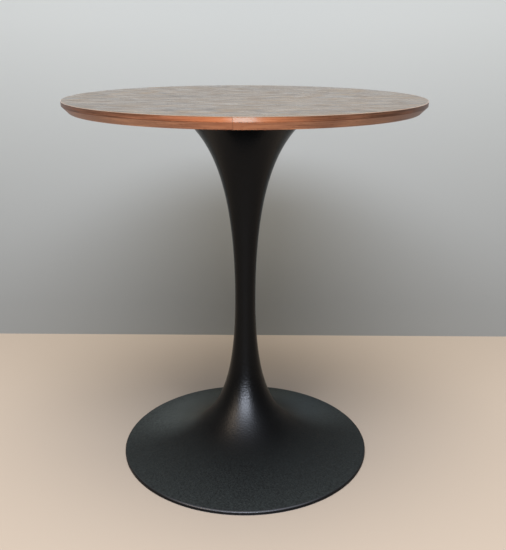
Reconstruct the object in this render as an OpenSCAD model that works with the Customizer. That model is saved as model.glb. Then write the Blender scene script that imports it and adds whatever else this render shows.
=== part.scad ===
// Round tulip table: a veneered top on a trumpet pedestal that a tie rod clamps together.
// Origin on the floor at the centre of the foot, +Z up, the top's grain along X.

/* [Table] */
// Height of the tabletop's upper face above the floor
table_h = 750; // [710:1:780]
// Diameter of the tabletop
top_d = 686; // [600:1:760]
// Diameter of the foot
foot_d = 526; // [480:1:580]

/* [Tabletop] */
// Thickness of the fibreboard core
core_t = 19; // [17:0.5:25]
// Thickness of the walnut face veneer
veneer_t = 1; // [0.8:0.1:1.5]
// Thickness of the balancing veneer under the core
backing_t = 1; // [0.6:0.1:1.5]
// Thickness of the walnut strips round the edge
band_t = 1; // [0.6:0.1:1.5]
// Height of the upright part of the edge
face_h = 8.5; // [6:0.5:12]
// How far the undercut runs in under the edge
bevel_run = 12.5; // [6:0.5:20]
// Radius of the softened upper edge
arris_r = 0.7; // [0.3:0.1:0.8]
// Gap at the butt joint of the edge strips
joint_gap = 0.3; // [0.2:0.1:0.6]
// Angle of the butt joint round the edge, seen from above
joint_angle = -92; // [-120:1:-60]

/* [Mounting hardware] */
// Diameter of the mounting plate
plate_d = 236; // [210:1:240]
// Thickness of the mounting plate
plate_t = 5; // [4:0.5:8]
// Number of bolts that hold the plate to the top
bolt_count = 6; // [4:1:8]
// Diameter of the circle of bolts
bolt_circle = 196; // [150:1:200]
// Thread diameter of the bolts
bolt_d = 6; // [5:0.5:6.5]
// Length of the bolts under their heads
bolt_len = 18; // [15:1:20]
// Width across flats of the bolt heads
bolt_af = 10; // [9:0.5:11]
// Height of the bolt heads
bolt_head_h = 4; // [3:0.5:6]
// Diameter of the washers under the bolt heads
washer_d = 12.5; // [12:0.5:16]
// Thickness of the washers under the bolt heads
washer_t = 1.6; // [1:0.1:2.5]
// Outer diameter of the threaded inserts
insert_d = 9; // [8:0.5:10]
// Length of the threaded inserts
insert_len = 13; // [10:0.5:15]
// Diameter of the threaded hub under the plate
hub_d = 36; // [30:1:50]
// Height of the threaded hub
hub_h = 28; // [20:1:40]
// Size of the weld round the hub
weld_w = 4; // [2:0.5:6]

/* [Pedestal] */
// Diameter of the flare's rim under the top
flare_d = 270; // [266:1:300]
// Steepness of the flare at its rim, up from level
flare_slope = 42; // [36:1:50]
// How strongly the flare holds that slope
flare_lead = 52; // [40:1:64]
// How far the straight waist reaches up into the flare
waist_up = 297; // [270:1:310]
// Diameter of the waist
waist_d = 42.4; // [40:0.2:50]
// Height of the waist, where the two trumpets meet
waist_z = 346; // [330:1:360]
// How far the straight waist reaches down into the foot
waist_down = 294; // [280:1:320]
// Slope of the foot at its rim
foot_slope = 5; // [4:0.5:8]
// How far in from the rim the foot holds that slope
foot_lead = 152; // [130:1:160]
// Height of the foot's rim above the floor
rim_h = 8; // [7.8:0.1:12]
// Radius of the foot's rounded rim
rim_r = 3; // [2:0.5:3]
// Wall of the upper trumpet
flare_wall = 2.5; // [1.5:0.1:3]
// Radius of the flare's rounded rim
flare_round = 1.2; // [0.8:0.1:1.5]
// Width of the flange turned in at the flare's rim
flange_w = 12; // [8:0.5:12]
// Wall of the lower trumpet
foot_wall = 2.5; // [2:0.1:3]
// Thickness of the gasket between flare and top
gasket_t = 1; // [0.5:0.1:2]

/* [Core of the pedestal] */
// Diameter of the tie rod
rod_d = 16; // [12:1:18]
// Length of rod that stands out below its nut
rod_tail = 8; // [4:1:15]
// Length of the sleeve inside the waist
sleeve_len = 60; // [40:1:80]
// Wall of the sleeve
sleeve_wall = 3; // [2:0.1:4]
// Width across flats of the rod's nut
nut_af = 24; // [22:0.5:30]
// Height of the rod's nut
nut_h = 13; // [8:0.5:16]
// Diameter of the washer above the nut
rod_washer_d = 50; // [34:1:56]
// Thickness of the washer above the nut
rod_washer_t = 4; // [2:0.5:6]
// Thickness of the ballast casting
ballast_t = 9; // [8:0.5:14]
// Gap between the ballast and the foot's wall
ballast_gap = 2; // [1:0.1:3]
// Thickness of the ballast's web round the rod
web_t = 14; // [10:0.5:18]

/* [Underside] */
// Thickness of the cover sheet
cover_t = 1.5; // [1:0.1:1.6]
// Height of the cover sheet above the floor
cover_z = 3.3; // [3.2:0.1:3.4]
// Gap between the floor and the metal rim
rim_lift = 1.2; // [0.8:0.1:2]
// Width of the rubber floor ring
ring_w = 12; // [8:0.5:20]
// How far the floor ring sits in from the rim's outer face
ring_inset = 0.6; // [0.3:0.1:1.5]
// Number of screws in the cover
screw_count = 6; // [4:1:8]
// Diameter of the circle of cover screws
screw_circle = 378; // [376:1:384]
// Thread diameter of the cover screws
screw_d = 5; // [4:0.5:5]
// Length of the cover screws under their heads
screw_len = 7; // [6:0.5:8]
// Diameter of the cover screws' heads
screw_head_d = 9; // [8:0.5:10]
// Height of the cover screws' heads
screw_head_h = 1.8; // [1.4:0.1:2]
// Diameter of the access hole in the cover
access_d = 90; // [70:1:110]
// Thickness of the plug's flange
plug_t = 1.6; // [1:0.1:1.8]
// Depth of the plug's skirt above the cover
plug_grip = 4; // [3:0.5:8]

/* [Hidden] */
// Smoothness of round shapes and of the trumpet curves
$fn = 96;
curve_steps = 36;
arc_steps = 5;
// Clearances: sliding seats, threads, glue lines, holes round screws and loose fits
seat_gap = 0.3;
thread_gap = 0.05;
glue_gap = 0.05;
hole_gap = 0.5;
loose_gap = 2;
// Overrun of a cutting shape past the face that it cuts
past = 1;
// Recess in a screw's head: width across flats and depth
drive_af = 3;
drive_deep = 1.1;
// Hidden cup of the ballast: where its seat, web and outer edge lie along the foot's curve
seat_from = 0.30;
seat_to = 0.42;
ballast_to = 0.885;
plug_wall = 2;
plug_lip = 5;

top_t = veneer_t + core_t + backing_t;
top_r = top_d / 2;
under_z = table_h - top_t;
face_z = table_h - face_h;
core_z = under_z + backing_t;
veneer_z = table_h - veneer_t;
bevel_slope = bevel_run / (face_z - under_z);
bevel_band_w = band_t * sqrt(1 + bevel_slope * bevel_slope);
mitre_z = face_z + (bevel_band_w - band_t) / bevel_slope;
band_in_r = top_r - band_t;
bevel_in_r = top_r - bevel_band_w - (face_z - core_z) * bevel_slope;
plate_z = under_z - plate_t;
flare_z = under_z - gasket_t;
flare_r = flare_d / 2;
foot_r = foot_d / 2;
waist_r = waist_d / 2;
cover_top = cover_z + cover_t;
cover_r = foot_r - foot_wall - seat_gap;
sleeve_r = waist_r - max(flare_wall, foot_wall) - thread_gap;
bolt_r = bolt_d / 2;
hub_z = plate_z - hub_h;
rod_top = plate_z - loose_gap;

// Point and direction at t on a cubic curve with four control points
function curve_point(p, t) =
    pow(1 - t, 3) * p[0] + 3 * pow(1 - t, 2) * t * p[1] + 3 * (1 - t) * t * t * p[2] + pow(t, 3) * p[3];
function curve_slope(p, t) =
    pow(1 - t, 2) * (p[1] - p[0]) + 2 * (1 - t) * t * (p[2] - p[1]) + t * t * (p[3] - p[2]);

// Point that lies d inside the curve's outer face
function inside_point(p, t, d) =
    let (v = curve_slope(p, t))
    curve_point(p, t) + d * [v.y, -v.x] / norm(v);

// Points d inside the curve, from t = a to t = b
function inside_curve(p, d, a = 0, b = 1, n = curve_steps) =
    [for (i = [0 : n]) inside_point(p, a + (b - a) * i / n, d)];

// Points of a round corner about centre c, from angle a to angle b
function corner(c, r, a, b) =
    [for (i = [0 : arc_steps]) let (w = a + (b - a) * i / arc_steps) c + r * [cos(w), sin(w)]];

function backwards(list) = [for (i = [len(list) - 1 : -1 : 0]) list[i]];

// The flare's curve runs from its rim down to the waist
flare_centre = [flare_r - flare_round, flare_z - flare_round];
flare_start = flare_centre + flare_round * [sin(flare_slope), -cos(flare_slope)];
flare_curve = [
    flare_start,
    flare_start - flare_lead * [cos(flare_slope), sin(flare_slope)],
    [waist_r, waist_z + waist_up],
    [waist_r, waist_z]
];

// The foot's curve runs from the waist down to the rounded rim
rim_centre = [foot_r - rim_r, rim_h - rim_r];
foot_end = rim_centre + rim_r * [sin(foot_slope), cos(foot_slope)];
foot_curve = [
    [waist_r, waist_z],
    [waist_r, waist_z - waist_down],
    foot_end + foot_lead * [-cos(foot_slope), sin(foot_slope)],
    foot_end
];

// Middle of the ballast's seat, where its web joins it
web_at = inside_point(foot_curve, (seat_from + seat_to) / 2, foot_wall + seat_gap + ballast_t / 2);
web_z = web_at.y - web_t / 2;
rod_bottom = web_z - rod_washer_t - nut_h - rod_tail;

// Copies of the children on a circle, the first one half a step past the X axis
module on_circle(count, d) {
    for (i = [0 : count - 1])
        rotate([0, 0, (i + 0.5) * 360 / count])
            translate([d / 2, 0, 0])
                children();
}

// Washer or tube: a ring from radius a to radius b
module ring(a, b, h) {
    difference() {
        cylinder(r = b, h = h);
        translate([0, 0, -past]) cylinder(r = a, h = h + 2 * past);
    }
}

// Prism with six flats, given its width across them
module hexagon(af, h) {
    cylinder(r = af / sqrt(3), h = h, $fn = 6);
}

// Slit through an edge strip where its two ends meet
module butt_joint() {
    rotate([0, 0, joint_angle])
        translate([top_r - bevel_run - 2 * bevel_band_w, -joint_gap / 2, under_z - past])
            cube([bevel_run + 3 * bevel_band_w, joint_gap, top_t + 2 * past]);
}

module top_veneer() {
    color("#a89a86")
        rotate_extrude()
            polygon(concat(
                [[0, veneer_z], [top_r, veneer_z]],
                corner([top_r - arris_r, table_h - arris_r], arris_r, 0, 90),
                [[0, table_h]]
            ));
}

module tabletop_core() {
    color("#b08d62")
        difference() {
            rotate_extrude()
                polygon([
                    [0, core_z],
                    [bevel_in_r - glue_gap, core_z],
                    [band_in_r - glue_gap, mitre_z],
                    [band_in_r - glue_gap, veneer_z],
                    [0, veneer_z]
                ]);
            on_circle(bolt_count, bolt_circle)
                translate([0, 0, core_z - past])
                    cylinder(d = insert_d + 2 * thread_gap, h = insert_len + loose_gap + past);
        }
}

module edge_band() {
    color("#a2583a")
        difference() {
            rotate_extrude()
                polygon([
                    [band_in_r, mitre_z],
                    [top_r, face_z],
                    [top_r, veneer_z],
                    [band_in_r, veneer_z]
                ]);
            butt_joint();
        }
}

module bevel_band() {
    color("#95613e")
        difference() {
            rotate_extrude()
                polygon([
                    [top_r - bevel_run, under_z],
                    [top_r, face_z],
                    [band_in_r, mitre_z],
                    [bevel_in_r, core_z]
                ]);
            butt_joint();
        }
}

module backing_veneer() {
    color("#8a6a4c")
        difference() {
            rotate_extrude()
                polygon([
                    [0, under_z],
                    [top_r - bevel_run - glue_gap, under_z],
                    [bevel_in_r - glue_gap, core_z],
                    [0, core_z]
                ]);
            on_circle(bolt_count, bolt_circle)
                translate([0, 0, under_z - past])
                    cylinder(d = insert_d + hole_gap, h = backing_t + 2 * past);
        }
}

module threaded_inserts() {
    color("#b9b29c")
        on_circle(bolt_count, bolt_circle)
            translate([0, 0, core_z])
                ring(bolt_r + thread_gap, insert_d / 2, insert_len);
}

module mounting_plate() {
    color("#4b4d4f")
        difference() {
            translate([0, 0, plate_z]) cylinder(d = plate_d, h = plate_t);
            on_circle(bolt_count, bolt_circle)
                translate([0, 0, plate_z - past])
                    cylinder(d = bolt_d + 2 * hole_gap, h = plate_t + 2 * past);
        }
}

module plate_hub() {
    color("#5a5c5e")
        rotate_extrude()
            polygon([
                [rod_d / 2 + thread_gap, hub_z],
                [hub_d / 2, hub_z],
                [hub_d / 2, plate_z - weld_w],
                [hub_d / 2 + weld_w, plate_z],
                [rod_d / 2 + thread_gap, plate_z]
            ]);
}

module plate_bolts() {
    head_top = plate_z - washer_t;
    color("#c3c5c6")
        on_circle(bolt_count, bolt_circle)
            translate([0, 0, head_top]) {
                translate([0, 0, -bolt_head_h]) hexagon(bolt_af, bolt_head_h);
                cylinder(r = bolt_r, h = bolt_len);
            }
}

module plate_washers() {
    color("#b5b8ba")
        on_circle(bolt_count, bolt_circle)
            translate([0, 0, plate_z - washer_t])
                ring(bolt_r + hole_gap / 2, washer_d / 2, washer_t);
}

module rim_gasket() {
    color("#242424")
        translate([0, 0, flare_z])
            ring(flare_r - flange_w, flare_r - flare_round, gasket_t);
}

module upper_trumpet() {
    wall = [for (p = inside_curve(flare_curve, flare_wall)) if (p.y < flare_z - flare_wall) p];
    color("#1d1f20")
        rotate_extrude()
            polygon(concat(
                corner(flare_centre, flare_round, 90, flare_slope - 90),
                [for (i = [1 : curve_steps]) curve_point(flare_curve, i / curve_steps)],
                backwards(wall),
                [
                    [flare_r - flange_w, flare_z - flare_wall],
                    [flare_r - flange_w, flare_z]
                ]
            ));
}

module waist_sleeve() {
    color("#77797b")
        translate([0, 0, waist_z - sleeve_len / 2])
            ring(sleeve_r - sleeve_wall, sleeve_r, sleeve_len);
}

module lower_trumpet() {
    inner_r = foot_r - foot_wall;
    wall = [for (p = inside_curve(foot_curve, foot_wall)) if (p.x < inner_r) p];
    color("#1d1f20")
        rotate_extrude()
            polygon(concat(
                [for (i = [0 : curve_steps - 1]) curve_point(foot_curve, i / curve_steps)],
                corner(rim_centre, rim_r, 90 - foot_slope, 0),
                [[foot_r, rim_lift], [inner_r, rim_lift]],
                [[inner_r, wall[len(wall) - 1].y]],
                backwards(wall)
            ));
}

module tie_rod() {
    chamfer = 1;
    r = rod_d / 2;
    color("#a9acae")
        rotate_extrude()
            polygon([
                [0, rod_bottom],
                [r - chamfer, rod_bottom],
                [r, rod_bottom + chamfer],
                [r, rod_top - chamfer],
                [r - chamfer, rod_top],
                [0, rod_top]
            ]);
}

module rod_washer() {
    color("#b5b8ba")
        translate([0, 0, web_z - rod_washer_t])
            ring(rod_d / 2 + hole_gap, rod_washer_d / 2, rod_washer_t);
}

module rod_nut() {
    color("#c3c5c6")
        translate([0, 0, web_z - rod_washer_t - nut_h])
            difference() {
                hexagon(nut_af, nut_h);
                translate([0, 0, -past]) cylinder(r = rod_d / 2 + thread_gap, h = nut_h + 2 * past);
            }
}

// Part of the ballast's dish between two offsets from the foot's outer face
module dish(a, b, near, far) {
    rotate_extrude()
        polygon(concat(
            inside_curve(foot_curve, near, a, b),
            backwards([for (p = inside_curve(foot_curve, far, a, b)) [p.x, max(p.y, cover_top)]])
        ));
}

module ballast_weight() {
    seat = foot_wall + seat_gap;
    inner = foot_wall + ballast_gap;
    color("#3a3b3c")
        difference() {
            union() {
                dish(seat_from, seat_to, seat, seat + ballast_t);
                dish((seat_from + seat_to) / 2, ballast_to, inner, inner + ballast_t);
                translate([0, 0, web_z]) cylinder(r = web_at.x, h = web_t);
            }
            translate([0, 0, web_z - past]) cylinder(r = rod_d / 2 + hole_gap, h = web_t + 2 * past);
            on_circle(screw_count, screw_circle)
                translate([0, 0, cover_top - past])
                    cylinder(r = screw_d / 2 + thread_gap, h = screw_len - cover_t + hole_gap + past);
        }
}

module base_cover() {
    color("#2b2d2e")
        difference() {
            translate([0, 0, cover_z]) ring(access_d / 2, cover_r, cover_t);
            on_circle(screw_count, screw_circle)
                translate([0, 0, cover_z - past])
                    cylinder(r = screw_d / 2 + hole_gap, h = cover_t + 2 * past);
        }
}

module cover_screws() {
    color("#bfc1c2")
        on_circle(screw_count, screw_circle)
            translate([0, 0, cover_z])
                difference() {
                    union() {
                        translate([0, 0, -screw_head_h]) cylinder(d = screw_head_d, h = screw_head_h);
                        cylinder(d = screw_d, h = screw_len);
                    }
                    translate([0, 0, -screw_head_h - past]) hexagon(drive_af, drive_deep + past);
                }
}

module access_plug() {
    r = access_d / 2 - seat_gap;
    color("#202122")
        union() {
            translate([0, 0, cover_z - plug_t]) cylinder(r = access_d / 2 + plug_lip, h = plug_t);
            translate([0, 0, cover_z - plug_t]) ring(r - plug_wall, r, plug_t + cover_t + plug_grip);
        }
}

module floor_ring() {
    out_r = foot_r - ring_inset;
    in_r = cover_r;
    color("#151515")
        rotate_extrude()
            polygon([
                [in_r - ring_w, 0],
                [out_r, 0],
                [out_r, rim_lift],
                [in_r, rim_lift],
                [in_r, cover_z],
                [in_r - ring_w, cover_z]
            ]);
}

top_veneer();
tabletop_core();
edge_band();
bevel_band();
backing_veneer();
threaded_inserts();
mounting_plate();
plate_hub();
plate_bolts();
plate_washers();
rim_gasket();
upper_trumpet();
waist_sleeve();
lower_trumpet();
tie_rod();
rod_washer();
rod_nut();
ballast_weight();
base_cover();
cover_screws();
access_plug();
floor_ring();
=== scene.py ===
import math

import bmesh
import bpy
from mathutils import Matrix, Vector


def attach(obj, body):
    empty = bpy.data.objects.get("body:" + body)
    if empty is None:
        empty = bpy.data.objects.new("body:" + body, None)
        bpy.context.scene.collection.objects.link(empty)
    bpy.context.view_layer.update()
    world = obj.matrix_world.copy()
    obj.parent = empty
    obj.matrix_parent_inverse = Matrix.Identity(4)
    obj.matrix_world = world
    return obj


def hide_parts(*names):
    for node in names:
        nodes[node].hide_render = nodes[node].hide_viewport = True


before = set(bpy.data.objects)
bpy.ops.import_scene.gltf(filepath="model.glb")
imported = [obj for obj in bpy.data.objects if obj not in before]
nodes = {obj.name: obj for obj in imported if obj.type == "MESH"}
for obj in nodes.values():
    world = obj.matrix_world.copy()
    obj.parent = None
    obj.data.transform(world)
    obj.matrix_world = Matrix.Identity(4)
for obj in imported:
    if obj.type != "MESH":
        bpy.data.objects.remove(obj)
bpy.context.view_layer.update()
mm = 0.001
print("frame loaded:", len(nodes), "nodes")


# sRGB hex text to a linear colour, by the standard's own curve
def toLinear(hexText):
    parts = [int(hexText[i:i + 2], 16) / 255 for i in (1, 3, 5)]
    return [p / 12.92 if p <= 0.04045 else ((p + 0.055) / 1.055) ** 2.4 for p in parts] + [1.0]


# adds one node: settings are its own properties, socket values or ramp stops; links feed its sockets
def addNode(tree, kind, settings=None, links=None):
    node = tree.nodes.new(kind)
    for key, value in (settings or {}).items():
        if key == "stops":
            stops = node.color_ramp.elements
            for i, (place, shade) in enumerate(value):
                stop = stops[i] if i < len(stops) else stops.new(place)
                stop.position = place
                stop.color = toLinear(shade) if isinstance(shade, str) else (shade, shade, shade, 1.0)
        elif isinstance(key, str) and hasattr(node, key):
            setattr(node, key, value)
        else:
            node.inputs[key].default_value = value
    for key, source in (links or {}).items():
        tree.links.new(source, node.inputs[key])
    return node


def emptyMaterial(name):
    material = bpy.data.materials.new(name)
    material.use_nodes = True
    material.node_tree.nodes.clear()
    return material, material.node_tree


# Camera, placed where the photograph was taken from
cameraPlace = {
    "at": (28.637, -1447.388, 866.978),  # mm
    "down": 18.145,  # degrees below level
    "left": 0.504,
    "roll": 0.148,
    "lens": 48.345,  # mm, as the sensor's width
    "sensor": 36,
    "nearest": 0.05,  # m
}
camera = bpy.data.objects.new("camera", bpy.data.cameras.new("camera"))
camera.data.lens = cameraPlace["lens"]
camera.data.sensor_width = cameraPlace["sensor"]
camera.data.clip_start = cameraPlace["nearest"]
down, left, roll = [math.radians(cameraPlace[k]) for k in ("down", "left", "roll")]
ahead = Vector((-math.sin(left) * math.cos(down), math.cos(left) * math.cos(down), -math.sin(down)))
side = Vector((math.cos(left), math.sin(left), 0))
above = side.cross(ahead)
across = side * math.cos(roll) + above * math.sin(roll)
upward = above * math.cos(roll) - side * math.sin(roll)
turnMatrix = Matrix((across, upward, -ahead)).transposed().to_4x4()
camera.matrix_world = Matrix.Translation(Vector(cameraPlace["at"]) * mm) @ turnMatrix
bpy.context.scene.collection.objects.link(camera)
bpy.context.scene.camera = camera
bpy.context.scene.view_settings.view_transform = "Standard"


# Stage: a plain floor and a wall behind the table, darker towards the floor as painted shade; its places are
# in metres
stagePlan = {
    "floorColour": "#c6b9a8",
    "wallLowShade": "#a9aeae",
    "wallHigh": "#c6ccca",
    "wallShade": (0.1, 0.9),  # heights between which the low colour, painted shade, turns into the high one
    "wallY": 0.616,
    "reach": 4.0,
    "wallHeight": 3.2,
}


def stageMaterial(name, low, high):
    material, tree = emptyMaterial(name)
    place = addNode(tree, "ShaderNodeTexCoord").outputs["Object"]
    height = addNode(tree, "ShaderNodeSeparateXYZ", links={0: place}).outputs[2]
    # on the wall the low colour is painted shade that fades out upwards; the floor has one colour
    start, end = stagePlan["wallShade"]
    rise = addNode(tree, "ShaderNodeMapRange", {"From Min": start, "From Max": end}, {"Value": height})
    shade = addNode(tree, "ShaderNodeMix", {"data_type": "RGBA", 6: toLinear(low), 7: toLinear(high)},
                    {0: rise.outputs[0]})
    paint = addNode(tree, "ShaderNodeBsdfDiffuse", links={"Color": shade.outputs[2]})
    # seen from behind, a sheet gives way so that the table's back and underside can be looked at
    back = addNode(tree, "ShaderNodeNewGeometry").outputs["Backfacing"]
    clear = addNode(tree, "ShaderNodeBsdfTransparent").outputs[0]
    mixed = addNode(tree, "ShaderNodeMixShader", links={0: back, 1: paint.outputs[0], 2: clear})
    addNode(tree, "ShaderNodeOutputMaterial", links={"Surface": mixed.outputs[0]})
    return material


def stageSheet(name, corners, material):
    mesh = bpy.data.meshes.new(name)
    mesh.from_pydata(corners, [], [(0, 1, 2, 3)])
    mesh.materials.append(material)
    sheet = bpy.data.objects.new(name, mesh)
    bpy.context.scene.collection.objects.link(sheet)
    return sheet


reach, wallY, wallTop = stagePlan["reach"], stagePlan["wallY"], stagePlan["wallHeight"]
floorMaterial = stageMaterial("stage floor", stagePlan["floorColour"], stagePlan["floorColour"])
wallMaterial = stageMaterial("stage wall", stagePlan["wallLowShade"], stagePlan["wallHigh"])
floorCorners = [(-reach, -reach, 0), (reach, -reach, 0), (reach, reach, 0), (-reach, reach, 0)]
wallCorners = [(-reach, wallY, 0), (reach, wallY, 0), (reach, wallY, wallTop), (-reach, wallY, wallTop)]
stageSheet("stageFloor", floorCorners, floorMaterial)
wall = stageSheet("stageWall", wallCorners, wallMaterial)
wall.visible_shadow = False
wall.visible_diffuse = False

# Soft studio light: a dim world, a broad lamp overhead and lamps on the camera's side, which
# light only some of the pieces; places and sizes are in metres and powers in watts
worldLight = {"colour": "#f2f4f6", "strength": 0.14}
stageSheets = ("stageWall", "stageFloor")
edgeStrips = ("edgeStrip", "bevelStrip")
lamps = {
    "overhead": {
        "at": (0, -0.5, 4.0), "aim": (0, 0, 0.2), "size": (2.6, 2.2), "power": 118, "colour": "#fff6ee",
        "mirrored": False,
    },
    "stageLamp": {
        "at": (0, -1.6, 2.6), "aim": (0, wallY, 0.9), "size": (2.4, 0.8), "power": 76, "colour": "#f1f3ff",
        "lightsOnly": stageSheets,
    },
    "window": {
        "at": (0.02, -2.35, 1.0), "aim": (0, 0, 0.3), "size": (1.7, 0.32), "power": 292, "colour": "#e6eeff",
        "leavesOut": stageSheets + ("faceVeneer",) + edgeStrips,
    },
    "warmLamp": {
        "at": (-1.85, -2.1, 1.75), "aim": (0, 0, 0.2), "size": (1.1, 0.9), "power": 113, "colour": "#ffe6c8",
        "leavesOut": stageSheets + ("faceVeneer",) + edgeStrips,
    },
    "edgeLamp": {
        "at": (0.02, -2.35, 0.62), "aim": (0, 0, 0.74), "size": (0.52, 0.6), "power": 34, "colour": "#94ecfa",
        "lightsOnly": edgeStrips,
    },
    "edgeGlow": {
        "at": (-0.3, -2.35, 1.3), "aim": (0, 0, 0.74), "size": (2.1, 0.5), "power": 216, "colour": "#ffeedc",
        "lightsOnly": edgeStrips,
    },
    "floorGlow": {
        "at": (-0.03, -0.75, 0.12), "aim": (0, -0.34, 0.74), "size": (0.4, 0.25), "power": 12,
        "colour": "#ffeede", "lightsOnly": ("bevelStrip",),
    },
}
world = bpy.data.worlds.new("studio")
bpy.context.scene.world = world
world.use_nodes = True
background = world.node_tree.nodes["Background"]
background.inputs["Color"].default_value = toLinear(worldLight["colour"])
background.inputs["Strength"].default_value = worldLight["strength"]
for name, plan in lamps.items():
    light = bpy.data.lights.new(name, "AREA")
    light.shape = "RECTANGLE"
    light.size, light.size_y = plan["size"]
    light.energy = plan["power"]
    light.color = toLinear(plan["colour"])[:3]
    lamp = bpy.data.objects.new(name, light)
    lamp.location = plan["at"]
    lamp.rotation_euler = (Vector(plan["aim"]) - Vector(plan["at"])).to_track_quat("-Z", "Y").to_euler()
    lamp.visible_camera = False
    lamp.visible_glossy = plan.get("mirrored", True)
    bpy.context.scene.collection.objects.link(lamp)
print("camera, stage and lamps set")


# a material with one Principled shader; uniform values go straight on its sockets
def startMaterial(name, uniform):
    material, tree = emptyMaterial(name)
    shader = addNode(tree, "ShaderNodeBsdfPrincipled", uniform)
    addNode(tree, "ShaderNodeOutputMaterial", links={"Surface": shader.outputs[0]})
    return material, tree, shader


# distance from the table's axis
def fromAxis(tree, place):
    flat = addNode(tree, "ShaderNodeVectorMath", {"operation": "MULTIPLY", 1: (1.0, 1.0, 0.0)}, {0: place})
    length = addNode(tree, "ShaderNodeVectorMath", {"operation": "LENGTH"}, {0: flat.outputs[0]})
    return length.outputs["Value"]


# Walnut face: sliced walnut veneer under satin lacquer, brown from above and pale where it
# mirrors the wall at a low angle; the grain runs along X, and sizes are in mm
faceGrain = {
    "dark": "#402b16",
    "mid": "#6c5233",
    "light": "#9a7d50",
    "poreTone": "#7a6252",
    # pale worn wood on the eased rim, partly wear and partly a painted highlight along the arris
    "wornAndHighlight": "#eacbb5",
    "wornAndHighlightMost": 0.95,
    "wearAndHighlightFrom": 341.6,  # from the axis, the start of the eased rim
    "wearAndHighlightTo": 342.6,
    "wander": 90,  # how far the figure strays sideways
    "ringCount": 24,  # growth rings between the softest and the strongest figure
    "ringStretch": (1.1, 5.6, 1.0),  # swells of the figure per metre, along and across the grain
    "ringShare": 0.26,  # of the tone, as for the next two
    "fibreShare": 0.55,
    "mottleShare": 0.45,
    "mottle": (20, 130),  # width and length, as for the next three
    "fibre": (2.6, 110),
    "pore": (1.7, 17),  # real pores are 0.3 mm wide; drawn wider so that they show
    "curl": (12, 36),
    "wave": 0.5,  # the lacquer follows the curl in a slight wave, which a low view shows as dashes
    "relief": 0.3,
    "roughness": 0.3,
    "glossSpread": 0.17,  # how far the roughness goes to either side
}


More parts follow.
